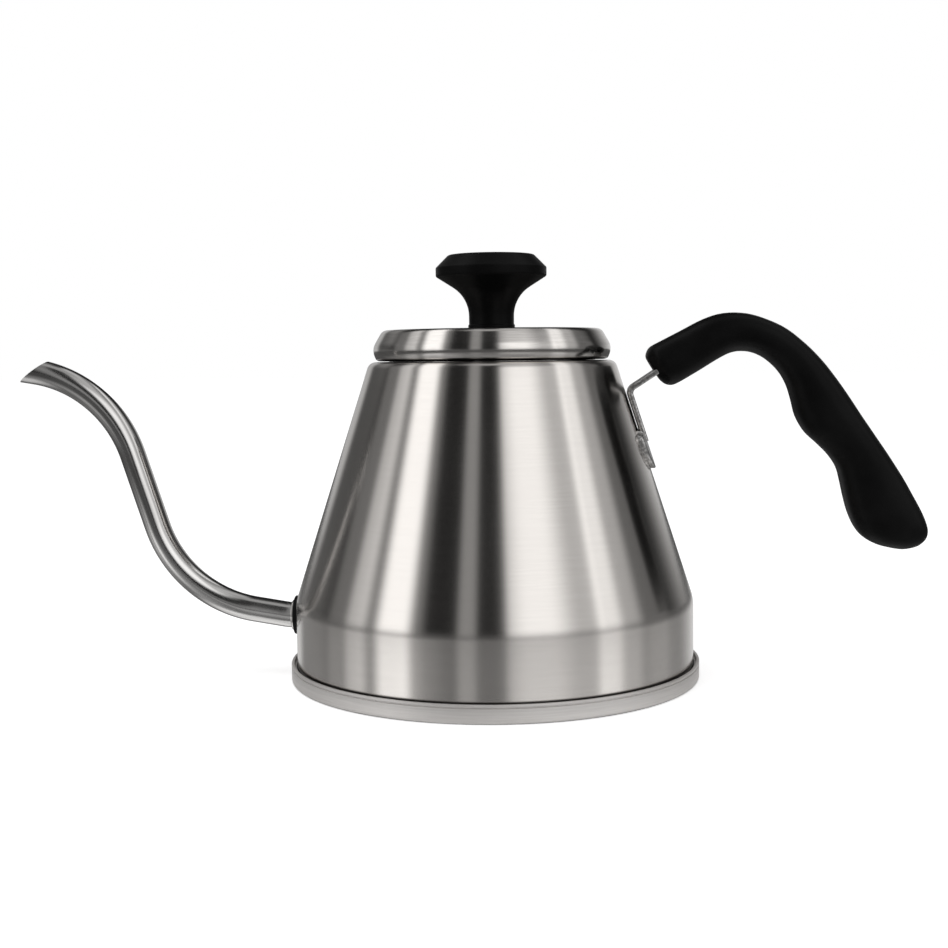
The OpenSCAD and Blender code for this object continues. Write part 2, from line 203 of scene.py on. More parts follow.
class Finish:
    """A surface finish: a node tree with one shader, and the nodes that feed it."""

    def __init__(self, name, **fixed):
        self.material = bpy.data.materials.new(name)
        self.material.use_nodes = True
        self.tree = self.material.node_tree
        self.shader = self.tree.nodes["Principled BSDF"]
        self.set(**fixed)

    def feed(self, socket, value):
        if isinstance(value, Signal):
            self.tree.links.new(value.socket, socket)
        else:
            socket.default_value = value

    def set(self, **values):
        for name, value in values.items():
            self.feed(self.shader.inputs[name.replace("_", " ")], value)

    def add(self, kind, settings=None, inputs=None, out=0):
        """Adds a node: its settings first, then the values or links of its sockets."""
        node = self.tree.nodes.new(kind)
        for key, value in (settings or {}).items():
            setattr(node, key, value)
        for key, value in (inputs or {}).items():
            self.feed(node.inputs[key], value)
        return Signal(self, node.outputs[out])

    def vector(self, x, y, z):
        return self.add("ShaderNodeCombineXYZ", inputs={0: x, 1: y, 2: z})

    def place(self):
        """The point on the piece, as three signals in metres."""
        point = self.add("ShaderNodeTexCoord", out="Object")
        return [self.add("ShaderNodeSeparateXYZ", inputs={0: point}, out=i) for i in range(3)]

    def noise(self, vector, scale, detail=2.0, roughness=0.5):
        return self.add("ShaderNodeTexNoise", inputs={"Vector": vector, "Scale": scale,
                                                      "Detail": detail, "Roughness": roughness})

    def tone(self, dark, light, amount):
        """From dark at 0 to light at 1; each is a colour or a signal."""
        ends = [c if isinstance(c, Signal) else (*c, 1) for c in (dark, light)]
        return self.add("ShaderNodeMix", {"data_type": "RGBA"}, {0: amount, 6: ends[0], 7: ends[1]}, out=2)

    def bump(self, height, strength, distance):
        return self.add("ShaderNodeBump", inputs={"Height": height, "Strength": strength,
                                                  "Distance": distance})


def brushed(name, dark, light, roughness, streak, depth, spread=0.85, metallic=1.0, shade=None):
    """Steel brushed on the lathe: fine lines round Z, a little uneven in tone and gloss.

    A shade is a function of a point's radius and height that paints shade into the colour, darkening it
    towards near-black in seams and under turned-in edges."""
    metal = Finish(name, Metallic=metallic, Anisotropic=spread, Anisotropic_Rotation=0.25)
    x, y, z = metal.place()
    ring = (x * x + y * y + 1e-10) ** 0.5
    along = z - ring

    def scratches(breaks, lines, detail, edge):
        """Noise drawn out round the piece: few breaks in a line, and many lines to the metre along it."""
        point = metal.vector(x / ring * breaks, y / ring * breaks, along * lines)
        return metal.noise(point, 1.0, detail, edge)

    grain = scratches(3.0, 1500.0, 3.0, 0.6) * 0.6 + scratches(9.0, 5400.0, 2.0, 0.7) * 0.4
    cloud = metal.noise(metal.vector(x, y, z), 26.0, 2.0)
    steel = metal.tone(dark, light, grain.between(0.36, 0.64))
    painted_shade_black = (0.012, 0.011, 0.010)
    # painted shade: where a shade is given, the steel's colour is darkened towards near-black
    metal.set(Base_Color=metal.tone(painted_shade_black, steel, shade(ring, z)) if shade else steel,
              Roughness=(grain - 0.5) * streak + roughness + (cloud - 0.5) * 0.06,
              Normal=metal.bump(grain, depth, 0.00006))
    return metal.material


def dress(obj, material, body, slot, *nodes):
    """Gives a finished piece its finish, and puts it in the frame in place of its CAD nodes."""
    obj.data.materials.clear()
    obj.data.materials.append(material)
    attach(obj, body)
    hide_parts(*nodes)


sheet_t = 0.8
band_r, crown_r, mouth_r = 68.0, 41.75, 35.5
band_low, band_top, body_top, collar_h = 1.0, 26.8, 107.8, 4.0
shoulder_round, crown_round, mouth_round = 14.0, 3.0, 1.4
body_line = [(band_r, band_low, 0), (band_r, band_top, shoulder_round), (crown_r, body_top, crown_round),
             (mouth_r, body_top, mouth_round), (mouth_r, body_top - collar_h, 0)]
body = turned("body", fine(sheet(body_line, sheet_t), longest=6.0))
hole_r, spout_z = 4.7, 20.1
drill_from, drill_to = -60.0, -75.0
bored(body, hole_r, (drill_from, 0, spout_z), (drill_to, 0, spout_z))
# where painted shade darkens the body, in metres: the ring of the lid's seat on the crown, and the foot of
# the wall behind the base rim
seat_inner, seat_outer, groove_top = (0.0384, 0.0389), (0.0398, 0.0404), (0.0062, 0.0068)


def body_painted_shade(ring, z):
    """Painted shade: darker in the gap where the lid sits on the crown, and dark in the groove behind the
    base rim.
    """
    seat = ring.between(*seat_inner) * (1 - ring.between(*seat_outer))
    return (1 - seat * 0.75) * (z.between(*groove_top) * 0.85 + 0.15)


body_steel = brushed("brushed_body_steel", (0.652, 0.624, 0.597), (0.676, 0.648, 0.62),
                     roughness=0.2, streak=0.03, depth=0.022, shade=body_painted_shade)
dress(body, body_steel, "kettle", "brushed_steel", "body_shell")

# ---- Base ---------------------------------------------------------------------------
# A pressed steel cup with a folded rim closes the bottom over an aluminium disc. Its rim
# stands out round the body as a plain satin ring, with a narrow groove behind it that painted shade darkens.
rim_r, rim_h, rim_w, cap_t = 69.99, 6.1, 1.7, 1.0
fold_w, fold_z = 1.0, 5.0
line_deep, line_low, line_floor, line_ceiling, line_high = 0.35, 4.85, 5.0, 5.15, 5.35
cap_line = [(0, 0, 0), (rim_r, 0, 0.9),
            (rim_r, line_low, 0.12), (rim_r - line_deep, line_floor, 0.08),
            (rim_r - line_deep, line_ceiling, 0.08), (rim_r, line_high, 0.2),
            (rim_r, rim_h, 0.3), (rim_r - fold_w, rim_h, 0.25), (rim_r - fold_w - 0.1, fold_z, 0),
            (rim_r - rim_w, fold_z, 0), (rim_r - rim_w, cap_t, 0), (0, cap_t, 0)]
base_cup = turned("base_cup", rounded(cap_line, 6))


def rim_painted_shade(ring, z):
    """Painted shade: dark where the rim turns under to the table, and a little darker towards its top, under
    the fold.
    """
    return z.between(0.0001, 0.0006) * 0.75 + 0.25 - z.between(0.0015, 0.0052) * 0.16


ring_steel = brushed("satin_ring_steel", (0.71, 0.685, 0.665), (0.79, 0.765, 0.745),
                     roughness=0.48, streak=0.08, depth=0.15, spread=0.2, metallic=0.5, shade=rim_painted_shade)
dress(base_cup, ring_steel, "kettle", "satin_steel", "base_cap")

# ---- Spout --------------------------------------------------------------------------
# A drawn stainless tube, bent three times over a mandrel to a gooseneck and sawn off at a
# slant. It is polished lengthwise. A bright collar on it presses a rubber washer to the wall.
tube_r, tube_t = 4.45, 0.8
root_out, root_bend, root_rise, root_len = 70.6, 14.0, 9.3, 11.3
bend_r, bend_turn, mid_len, tip_cut = 43.0, 63.0, 26.2, 45.0


def spout_line(start_out, past_tip, step=1.5):
    """Centre line of the tube as (x, z) in millimetres, from inside the wall to past its tip; and the tip."""
    at, heading = np.array([-start_out, spout_z]), 0.0
    line = [at]

    def straight(length):
        nonlocal at
        parts = max(1, math.ceil(length / step))
        run = np.array([-math.cos(heading), math.sin(heading)]) * length / parts
        for _ in range(parts):
            at = at + run
            line.append(at)

    def bend(radius, turn):
        nonlocal at, heading
        parts = math.ceil(radius * math.radians(abs(turn)) / step)
        small = math.radians(turn) / parts
        chord = 2 * radius * math.sin(abs(small) / 2)
        for _ in range(parts):
            middle = heading + small / 2
            at = at + np.array([-math.cos(middle), math.sin(middle)]) * chord
            heading += small
            line.append(at)

    straight(root_out - start_out)
    bend(root_bend, root_rise)
    straight(root_len)
    bend(bend_r, bend_turn)
    straight(mid_len)
    bend(bend_r, -bend_turn)
    tip = at
    straight(past_tip)
    return line, tip


steel_dark, steel_light = (0.52, 0.51, 0.50), (0.66, 0.65, 0.64)


def drawn_steel(name):
    """A polished tube: soft lengthwise lines, with faint cross marks from the bending."""
    metal = Finish(name, Metallic=1.0)
    x, y, z = metal.place()
    lines = metal.noise(metal.vector(x * 30, y * 900, z * 30), 1.0, 3.0, 0.6)
    marks = metal.noise(metal.vector(x * 900, y * 200, z * 900), 1.0, 2.0, 0.6)
    metal.set(Base_Color=metal.tone(steel_dark, steel_light, lines.between(0.35, 0.65)),
              Roughness=(lines - 0.5) * 0.08 + 0.155 + (marks - 0.5) * 0.05,
              Normal=metal.bump(lines * 0.6 + marks * 0.4, 0.12, 0.00005))
    return metal.material


tube_steel = drawn_steel("drawn_tube_steel")


def swept(name, line, radius, material, sides=48):
    """A round tube's skin along a line, made by a small tree of geometry nodes."""
    centre_line = bpy.data.meshes.new(name)
    steps = [(i, i + 1) for i in range(len(line) - 1)]
    centre_line.from_pydata([(x * MM, 0, z * MM) for x, z in line], steps, [])
    obj = bpy.data.objects.new(name, centre_line)
    bpy.context.scene.collection.objects.link(obj)
    tree = bpy.data.node_groups.new(name + "_bend", "GeometryNodeTree")
    face = tree.interface
    face.new_socket("Centre line", in_out="INPUT", socket_type="NodeSocketGeometry")
    radius_in = face.new_socket("Tube radius", in_out="INPUT", socket_type="NodeSocketFloat")
    sides_in = face.new_socket("Sides", in_out="INPUT", socket_type="NodeSocketInt")
    steel_in = face.new_socket("Finish", in_out="INPUT", socket_type="NodeSocketMaterial")
    face.new_socket("Tube", in_out="OUTPUT", socket_type="NodeSocketGeometry")
    source, result, path, ring, sweep, real, paint = (tree.nodes.new(kind) for kind in (
        "NodeGroupInput", "NodeGroupOutput", "GeometryNodeMeshToCurve", "GeometryNodeCurvePrimitiveCircle",
        "GeometryNodeCurveToMesh", "GeometryNodeRealizeInstances", "GeometryNodeSetMaterial"))
    for giver, given, taker, taken in ((source, "Centre line", path, "Mesh"), (path, 0, sweep, "Curve"),
                                       (source, "Tube radius", ring, "Radius"),
                                       (source, "Sides", ring, "Resolution"),
                                       (ring, 0, sweep, "Profile Curve"), (sweep, 0, real, 0),
                                       (real, 0, paint, "Geometry"), (source, "Finish", paint, "Material"),
                                       (paint, 0, result, 0)):
        tree.links.new(giver.outputs[given], taker.inputs[taken])
    work = obj.modifiers.new("bend", "NODES")
    work.node_group = tree
    work[radius_in.identifier] = radius * MM
    work[sides_in.identifier] = sides
    work[steel_in.identifier] = material
    bpy.context.view_layer.update()
    made = bpy.data.meshes.new_from_object(obj.evaluated_get(bpy.context.evaluated_depsgraph_get()))
    bpy.data.objects.remove(obj)
    return made


def slant_cut(mesh, point, normal):
    """The swept skin cut off beyond a plane, as a bmesh."""
    same_point = 0.002 * MM
    bm = bmesh.new()
    bm.from_mesh(mesh)
    bmesh.ops.bisect_plane(bm, geom=bm.verts[:] + bm.edges[:] + bm.faces[:], plane_co=point,
                           plane_no=normal, clear_outer=True)
    bmesh.ops.remove_doubles(bm, verts=bm.verts, dist=same_point)
    return bm


def closed_end(bm, outer, inner, centre, across):
    """Closes a tube's end between its outer and inner loops, matched by their angle round its centre."""

    def turn(loop, i):
        off = loop[i % len(loop)].co - centre
        return math.atan2(off.y, off.dot(across)) + (2 * math.pi if i >= len(loop) else 0)

    outer.sort(key=lambda v: turn([v], 0))
    inner.sort(key=lambda v: turn([v], 0))
    i = j = 0
    while i < len(outer) or j < len(inner):
        here, there = outer[i % len(outer)], inner[j % len(inner)]
        if j == len(inner) or i < len(outer) and turn(outer, i + 1) <= turn(inner, j + 1):
            i += 1
            bm.faces.new((here, outer[i % len(outer)], there))
        else:
            j += 1
            bm.faces.new((inner[j % len(inner)], there, here))


seal_t, washer_t, nut_t, past_nut = 2.1, 0.9, 3.0, 1.0
stub_out = band_r - sheet_t - seal_t - washer_t - nut_t - past_nut
line, tip = spout_line(stub_out, past_tip=9.0)
cut_at = Vector((tip[0] * MM, 0, tip[1] * MM))
lean = math.radians(root_rise - tip_cut)
cut_normal = Vector((math.sin(lean), 0, math.cos(lean)))
spout_mesh = bmesh.new()
for skin_r in (tube_r, tube_r - tube_t):
    outer_count = len(spout_mesh.verts)   # after the loop, how many points the outer skin has
    part = slant_cut(swept("spout_skin", line, skin_r, tube_steel), cut_at, cut_normal)
    skin = bpy.data.meshes.new("skin")
    part.to_mesh(skin)
    part.free()
    spout_mesh.from_mesh(skin)
spout_mesh.verts.index_update()
for centre, across in ((cut_at, Vector((-cut_normal.z, 0, cut_normal.x))),
                       (Vector((-stub_out, 0, spout_z)) * MM, Vector((0, 0, 1)))):
    rim = {vert for edge in spout_mesh.edges if edge.is_boundary for vert in edge.verts
           if (vert.co - centre).length < 2 * tube_r * MM}
    closed_end(spout_mesh, [vert for vert in rim if vert.index < outer_count],
               [vert for vert in rim if vert.index >= outer_count], centre, across)
bmesh.ops.recalc_face_normals(spout_mesh, faces=spout_mesh.faces)
spout = smooth(piece_of("spout", spout_mesh))
dress(spout, tube_steel, "kettle", "tube_steel", "spout_tube")


def rubber(name):
    """Black rubber with a dull, faintly pitted skin."""
    skin = Finish(name, Specular_IOR_Level=0.12)
    x, y, z = skin.place()
    pits = skin.noise(skin.vector(x, y, z), 2600.0, 3.0, 0.6)
    skin.set(Base_Color=skin.tone((0.004, 0.004, 0.004), (0.009, 0.009, 0.009), pits),
             Roughness=pits * 0.2 + 0.5, Normal=skin.bump(pits, 0.2, 0.00005))
    return skin.material


def plain_metal(name, dark, light, roughness):
    """Small turned or pressed metal parts, tumbled or polished to an even gloss."""
    metal = Finish(name, Metallic=1.0)
    x, y, z = metal.place()
    haze = metal.noise(metal.vector(x, y, z), 420.0, 4.0, 0.65)
    metal.set(Base_Color=metal.tone(dark, light, haze.between(0.3, 0.7)),
              Roughness=(haze - 0.5) * 0.25 + roughness, Normal=metal.bump(haze, 0.15, 0.00006))
    return metal.material


seal_rubber = rubber("black_rubber")


def threaded_on(name, path):
    """A turned piece on the spout's stub: a path of (radius, distance from the kettle's axis, rounding)."""
    ring = turned(name, rounded(path, 6), 96)
    onto_stub = Matrix.Translation((0, 0, spout_z * MM)) @ Matrix.Rotation(math.radians(-90), 4, "Y")
    ring.data.transform(onto_stub)
    return ring


ring_bore, collar_r, collar_in = 4.5, 5.3, 69.55
washer_r, washer_in, washer_out = 6.7, 67.3, 69.6
collar = threaded_on("spout_collar", [(ring_bore, collar_in, 0), (collar_r, collar_in, 0.3),
                                      (collar_r, root_out, 0.45), (ring_bore, root_out, 0)])
washer = threaded_on("spout_washer_rubber", [(ring_bore, washer_in, 0), (washer_r, washer_in, 0),
                                             (washer_r, washer_out, 0.2), (ring_bore, washer_out, 0)])
collar_steel = plain_metal("polished_collar_steel", (0.66, 0.64, 0.62), (0.72, 0.70, 0.68), 0.08)
dress(collar, collar_steel, "kettle", "tube_steel", "spout_stop")
dress(washer, seal_rubber, "kettle", "seal_rubber", "spout_gasket")

# ---- Inner fixings ------------------------------------------------------------------
# Hidden when the kettle is closed: the pressed pan and the aluminium disc under it, the seal,
# washer and nut that clamp the spout, and the screws and brass inserts of the knob and grip.
pan_z, pan_edge_h, pan_round = 4.0, 6.0, 2.8
pan_line = [(band_r - sheet_t, pan_z + pan_edge_h, 0), (band_r - sheet_t, pan_z, pan_round), (0, pan_z, 0)]
pan = turned("bottom_pan_sheet", sheet(pan_line, -sheet_t))
pan_steel = brushed("pan_steel", (0.56, 0.55, 0.54), steel_light, roughness=0.32, streak=0.12, depth=0.25)
dress(pan, pan_steel, "kettle", "plain_steel", "bottom_pan")

small_steel = plain_metal("tumbled_steel", steel_dark, steel_light, 0.28)
brass = plain_metal("turned_brass", (0.52, 0.36, 0.14), (0.64, 0.46, 0.20), 0.3)
aluminium = plain_metal("aluminium_disc", (0.72, 0.72, 0.73), (0.80, 0.80, 0.81), 0.4)
steel_fixings = ("spout_washer", "spout_nut", "knob_washer", "knob_screw", "grip_screw")
for material, nodes in ((small_steel, steel_fixings), (seal_rubber, ("spout_inner_seal", "knob_seal")),
                        (brass, ("knob_insert", "grip_insert")), (aluminium, ("base_core",))):
    for node in nodes:
        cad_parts[node].data.materials.clear()
        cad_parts[node].data.materials.append(material)

# ---- Strap --------------------------------------------------------------------------
# The handle's strap: stamped from 1.8 mm stainless plate, bent, spot-welded to the cone by
# its broad foot, and pickled grey. Its edges are eased by tumbling.


def pickled_steel(name):
    """Stamped plate, pickled after welding: pale grey with a mottled bloom."""
    metal = Finish(name, Metallic=1.0)
    x, y, z = metal.place()
    point = metal.vector(x, y, z)
    bloom = metal.noise(point, 230.0, 4.0, 0.7)
    grain = metal.noise(point, 1500.0, 3.0, 0.6)
    mottle = (bloom * 0.4 + grain * 0.6).between(0.40, 0.60)
    metal.set(Base_Color=metal.tone((0.30, 0.295, 0.29), steel_light, mottle),
              Roughness=bloom * 0.12 + 0.3, Normal=metal.bump(bloom * 0.2 + grain * 0.8, 0.3, 0.0001))
    return metal.material


strap_t, strap_w, strap_edge = 1.8, 14.0, 0.7
foot_w, foot_low, foot_top = 23.0, 71.0, 83.0
foot_corner, foot_round, foot_fillet, foot_overlap = 2.0, 9.8, 0.9, 3.0
bend_z, strap_bend, neck_gap = 96.6, 1.5, 0.3
neck_reach, tang_rise, tang_len = 9.9, math.radians(33), 24.0
cone_slope = (band_r - crown_r) / (body_top - band_top)
cone_lean = math.atan(cone_slope)
off_wall = np.array([math.cos(cone_lean), math.sin(cone_lean)])
tang_way = np.array([math.cos(tang_rise), math.sin(tang_rise)])


def wall_at(height, out=0.0):
    """Radius of the cone at a height, or of a layer outside it."""
    return band_r - cone_slope * (height - band_top) + out / math.cos(cone_lean)


def stacked(bm, loops):
    """Joins closed loops of equal length into a closed skin in the bmesh, facing out."""
    rings = [[bm.verts.new([value * MM for value in point]) for point in loop] for loop in loops]
    skin = [bm.faces.new(rings[0]), bm.faces.new(rings[-1])]
    for low, high in zip(rings, rings[1:]):
        for i in range(len(low)):
            j = (i + 1) % len(low)
            skin.append(bm.faces.new((low[i], low[j], high[j], high[i])))
    bmesh.ops.recalc_face_normals(bm, faces=skin)
    if sum(face.calc_center_median().dot(face.normal) * face.calc_area() for face in skin) < 0:
        bmesh.ops.reverse_faces(bm, faces=skin)


# how far in and how far down an eased edge goes, from its side to its face
eases = [(strap_edge * (1 - math.cos(turn)), strap_edge * (1 - math.sin(turn)))
         for turn in np.radians((0, 18, 36, 54, 72, 90))]
strap_mesh = bmesh.new()
# the foot: a T outline laid on the cone, its outer edge eased
half_foot = rounded([(strap_w / 2, foot_top + 1, 0), (strap_w / 2, foot_top, foot_fillet),
                     (foot_w / 2, foot_top, foot_corner), (foot_w / 2, foot_low, foot_round),
                     (0, foot_low, 0)])
foot = np.array(half_foot + [point * [-1, 1] for point in half_foot[-2::-1]])
runs = np.roll(foot, -1, axis=0) - np.roll(foot, 1, axis=0)
inward = np.stack([runs[:, 1], -runs[:, 0]], axis=1) / np.linalg.norm(runs, axis=1)[:, None]
inward *= np.sign(((foot.mean(axis=0) - foot) * inward).sum(axis=1))[:, None]
middle = np.array([0.0, (foot_low + foot_top) / 2])


def on_wall(flat, out):
    """Points (across, height) of a flat outline laid round the cone, at a distance out from it."""
    return [(math.sqrt(wall_at(z, out) ** 2 - y * y), y, z) for y, z in flat]


loops = [on_wall(foot, 0.0), on_wall(foot, strap_t - strap_edge)]
loops += [on_wall(foot + inward * inset, strap_t - sink) for inset, sink in eases[1:]]
inner = foot + inward * strap_edge
loops += [on_wall(middle + (inner - middle) * share, strap_t)
          for share in (0.9, 0.75, 0.6, 0.45, 0.3, 0.15, 0.03)]
stacked(strap_mesh, loops)
# the neck and the tang: one bent strip with all four long edges eased
root_z = foot_top - foot_overlap
neck_root = np.array([wall_at(root_z), root_z]) + off_wall * (neck_gap + strap_t)
bend_at = np.array([wall_at(bend_z), bend_z]) + off_wall * (neck_gap + strap_t)
grip_at = bend_at + tang_way * neck_reach
neck_line = [(*neck_root, 0), (*bend_at, strap_bend), (*(grip_at + tang_way * tang_len), 0)]
levels = [(inset - strap_w / 2, sink) for inset, sink in eases]
levels += [(-y, sink) for y, sink in levels[::-1]]
stacked(strap_mesh, [[(x, y, z) for x, z in sheet(beside(neck_line, sink), strap_t - 2 * sink)]
                     for y, sink in levels])
strap = smooth(piece_of("strap", strap_mesh), math.radians(30))
dress(strap, pickled_steel("pickled_strap_steel"), "kettle", "strap_steel", "handle_bracket")

# ---- Grip ---------------------------------------------------------------------------
# Moulded black nylon on the strap's tang, with a finger wave along its underside and a fine
# satin grain from the mould. A screw from below holds it.
grip_w = 19.0
# each rib, in millimetres from where the tang enters: its lower point (along the tang, off it),
# its upper point, and its share of the full width
ribs = np.array([
    [0, -1, 0, 5, 0.56], [0, -2.5, 0.2, 7, 0.64], [0.8, -4.5, 1.6, 8.4, 0.78], [2.6, -5.9, 3.6, 9, 0.98],
    [6, -6.4, 8, 8.6, 1], [13, -6.7, 14.6, 7.9, 1], [20, -6.9, 23, 7, 1], [24.5, -7.5, 29.6, 5, 1],
    [28, -9.2, 35.8, 0.8, 1], [31, -12, 40.4, -4.6, 1], [33.2, -16, 44.2, -11, 1],
    [34.5, -21.5, 46.8, -19, 1], [34.2, -27, 48.2, -26, 1], [32.8, -32, 48.8, -32, 1],
    [31, -37.5, 49.1, -37.5, 1], [30.7, -43.5, 49.2, -43, 1], [32, -49, 49.2, -49, 1],
    [33.1, -54.5, 49.3, -54.5, 1], [33.1, -59.5, 49.4, -59.5, 1], [31.7, -64, 49.5, -64, 1],
    [30, -68.5, 49.5, -69, 1], [28.2, -74, 49.4, -74.5, 1], [27.3, -79.5, 49, -80.5, 1],
    [27.8, -84, 48.5, -86.5, 1], [29.8, -88, 47.8, -90.5, 0.97], [32.6, -91.2, 46.8, -93.4, 0.88],
    [35.6, -93.9, 45, -95.3, 0.7], [38.5, -95.4, 42.4, -96.2, 0.4]])


def lofted_grip(name, steps=4, sides=64, squareness=2.8):
    """The grip's skin through its ribs, each a soft square drawn between a lower and an upper point."""
    ends = np.vstack([ribs[:1], ribs, ribs[-1:]])
    rows = []
    for k in range(len(ribs) - 1):
        a, b, c, d = ends[k:k + 4]
        for t in np.arange(steps) / steps:
            square, cube = (2 * a - 5 * b + 4 * c - d) * t ** 2, (3 * b - a - 3 * c + d) * t ** 3
            rows.append((2 * b + (c - a) * t + square + cube) / 2)
    rows.append(ribs[-1])

    def bulge(value):
        return np.sign(value) * np.abs(value) ** (2 / squareness)

    angle = 2 * np.pi * np.arange(sides) / sides
    high, wide = (1 + bulge(np.sin(angle))) / 2, bulge(np.cos(angle))
    loops = []
    for low_along, low_off, high_along, high_off, share in rows:
        along, off = low_along + (high_along - low_along) * high, low_off + (high_off - low_off) * high
        x = grip_at[0] + along * tang_way[0] - off * tang_way[1]
        z = grip_at[1] + along * tang_way[1] + off * tang_way[0]
        loops.append(list(zip(x, wide * share * grip_w / 2, z)))
    bm = bmesh.new()
    stacked(bm, loops)
    return smooth(piece_of(name, bm), math.radians(50))


def moulded(name, colour, roughness):
    """Satin black moulding: a fine spark-eroded grain and faint handling marks."""
    skin = Finish(name, Specular_IOR_Level=0.09)
    x, y, z = skin.place()
    point = skin.vector(x, y, z)
    grain = skin.noise(point, 3200.0, 2.0, 0.6)
    rub = skin.noise(point, 60.0, 3.0, 0.6)
    rubbed = tuple(channel * 1.9 for channel in colour)
    skin.set(Base_Color=skin.tone(colour, rubbed, rub.between(0.3, 0.7)),
             Roughness=grain * 0.12 + rub * 0.1 + roughness, Normal=skin.bump(grain, 0.25, 0.00004))
    return skin.material


grip_nylon = moulded("black_grip_nylon", (0.0024, 0.0024, 0.0024), 0.30)
dress(lofted_grip("grip"), grip_nylon, "kettle", "grip_plastic", "handle_grip")

# ---- Lid ----------------------------------------------------------------------------
# Pressed from the same sheet: a flat top, a leaning side and an edge rolled under, with a
# collar welded inside that centres it in the mouth. It is a little brighter than the body.
lid_r, seat_z, lid_top, lid_belly, turn_in, screw_hole_r = 40.25, 108.1, 118.5, 3.55, 3.0, 2.2
lid_lean, lid_tuck = math.radians(30), math.radians(22)
edge_round, belly_round, top_round = 1.6, 5.0, 2.8
half_turn, tilt = (lid_lean + lid_tuck) / 2, (lid_lean - lid_tuck) / 2
belly_r = lid_r + belly_round * (math.cos(tilt) / math.cos(half_turn) - 1)
belly_z = seat_z + lid_belly + belly_round * math.sin(tilt) / math.cos(half_turn)
lid_line = [(lid_r - turn_in, seat_z, 0),
            (belly_r - (belly_z - seat_z) * math.tan(lid_tuck), seat_z, edge_round),
            (belly_r, belly_z, belly_round),
            (belly_r - (lid_top - belly_z) * math.tan(lid_lean), lid_top, top_round),
            (screw_hole_r, lid_top, 0)]
lid = turned("lid", fine(sheet(lid_line, sheet_t), longest=8.0))
vent_r, vent_out, vent_reach = 1.5, 22.0, 5.0
bored(lid, vent_r, (0, vent_out, lid_top - vent_reach), (0, vent_out, lid_top + vent_reach))


def lid_painted_shade(ring, z):
    """Painted shade: dark where the edge turns in under the lid."""
    return z.between(0.1083, 0.1091) * 0.95 + 0.05


lid_steel = brushed("bright_lid_steel", (0.63, 0.605, 0.58), (0.70, 0.675, 0.65),
                    roughness=0.16, streak=0.04, depth=0.04, spread=0.7, shade=lid_painted_shade)
dress(lid, lid_steel, "lid", "lid_steel", "lid_shell")
skirt_r, skirt_t = mouth_r - 0.5, 0.7
skirt_low, skirt_high = seat_z - 9.0, lid_top - sheet_t
skirt = turned("lid_collar", rounded([(skirt_r, skirt_low, 0), (skirt_r, skirt_high, 0),
                                      (skirt_r - skirt_t, skirt_high, 0), (skirt_r - skirt_t, skirt_low, 0)]))
skirt_steel = brushed("satin_skirt_steel", (0.60, 0.58, 0.56), (0.68, 0.66, 0.64),
                      roughness=0.24, streak=0.06, depth=0.06)
dress(skirt, skirt_steel, "lid", "lid_steel", "lid_skirt")

# ---- Knob ---------------------------------------------------------------------------
# One black moulding with a slim stem that flares to a bevelled disc. A screw from under the
# lid holds it on a thin seal.
knob_z, knob_r, stem_r, knob_h = 119.0, 18.8, 7.65, 24.9
knob_bevel, band_h, under_lean, knob_hollow = 4.6, 2.9, math.radians(57.6), 11.5
foot_bead, bead_h, crown_dip = 0.3, 0.9, 0.3
edge_low = knob_h - knob_bevel - band_h
knob_line = [(0, 0, 0), (stem_r + foot_bead, 0, 0.3), (stem_r + foot_bead, bead_h, 0.2),
             (stem_r, bead_h + 0.4, 0.2),
             (stem_r, edge_low - (knob_r - stem_r) / math.tan(under_lean), knob_hollow),
             (knob_r, edge_low, 0.9), (knob_r, edge_low + band_h, 0.6),
             (knob_r - knob_bevel + crown_dip, knob_h - crown_dip, 1.5), (0, knob_h, 0)]
knob = turned("knob", [point + [0, knob_z] for point in rounded(knob_line, 12)], 128, math.radians(60))
knob_nylon = moulded("black_knob_nylon", (0.0018, 0.0018, 0.0018), 0.32)
dress(knob, knob_nylon, "lid", "knob_plastic", "lid_knob")

# ---- Studio -------------------------------------------------------------------------
# A white table in a pale room. What the metal mirrors is a row of upright soft boxes with
# dark gaps between them, each set by its direction. One soft lamp hangs overhead.
table_size, table_white, table_glow = 6.0, 0.88, 0.45
mirror_clear, mirror_near, mirror_far, far_level = 0.88, 0.16, 0.42, 0.09
table_mesh = bmesh.new()
bmesh.ops.create_grid(table_mesh, x_segments=1, y_segments=1, size=table_size)
table = piece_of("floor", table_mesh)
white = Finish("white_table", Base_Color=(table_white, table_white, table_white, 1), Roughness=0.9,
               Specular_IOR_Level=0.0)
x, y = white.place()[:2]
seen_directly = white.add("ShaderNodeLightPath", out="Is Camera Ray")
mirrored = white.add("ShaderNodeLightPath", out="Is Glossy Ray")
glow = white.add("ShaderNodeEmission", inputs={"Strength": seen_directly * table_glow})
lit = white.add("ShaderNodeAddShader", inputs={0: Signal(white, white.shader.outputs[0]), 1: glow})
clear = white.add("ShaderNodeBsdfTransparent")
near = white.add("ShaderNodeMixShader", inputs={0: mirrored * mirror_clear, 1: lit, 2: clear})
dim = white.add("ShaderNodeEmission", inputs={"Strength": far_level})
far_share = mirrored * ((x * x + y * y) ** 0.5).between(mirror_near, mirror_far)
whole = white.add("ShaderNodeMixShader", inputs={0: far_share, 1: near, 2: dim})
white.feed(white.tree.nodes["Material Output"].inputs[0], whole)
table.data.materials.append(white.material)

world = bpy.data.worlds.new("studio")
bpy.context.scene.world = world
world.use_nodes = True


class Room(Finish):
    """The room round the table, as a node tree that works as a finish does."""

    def __init__(self, tree):
        self.tree = tree


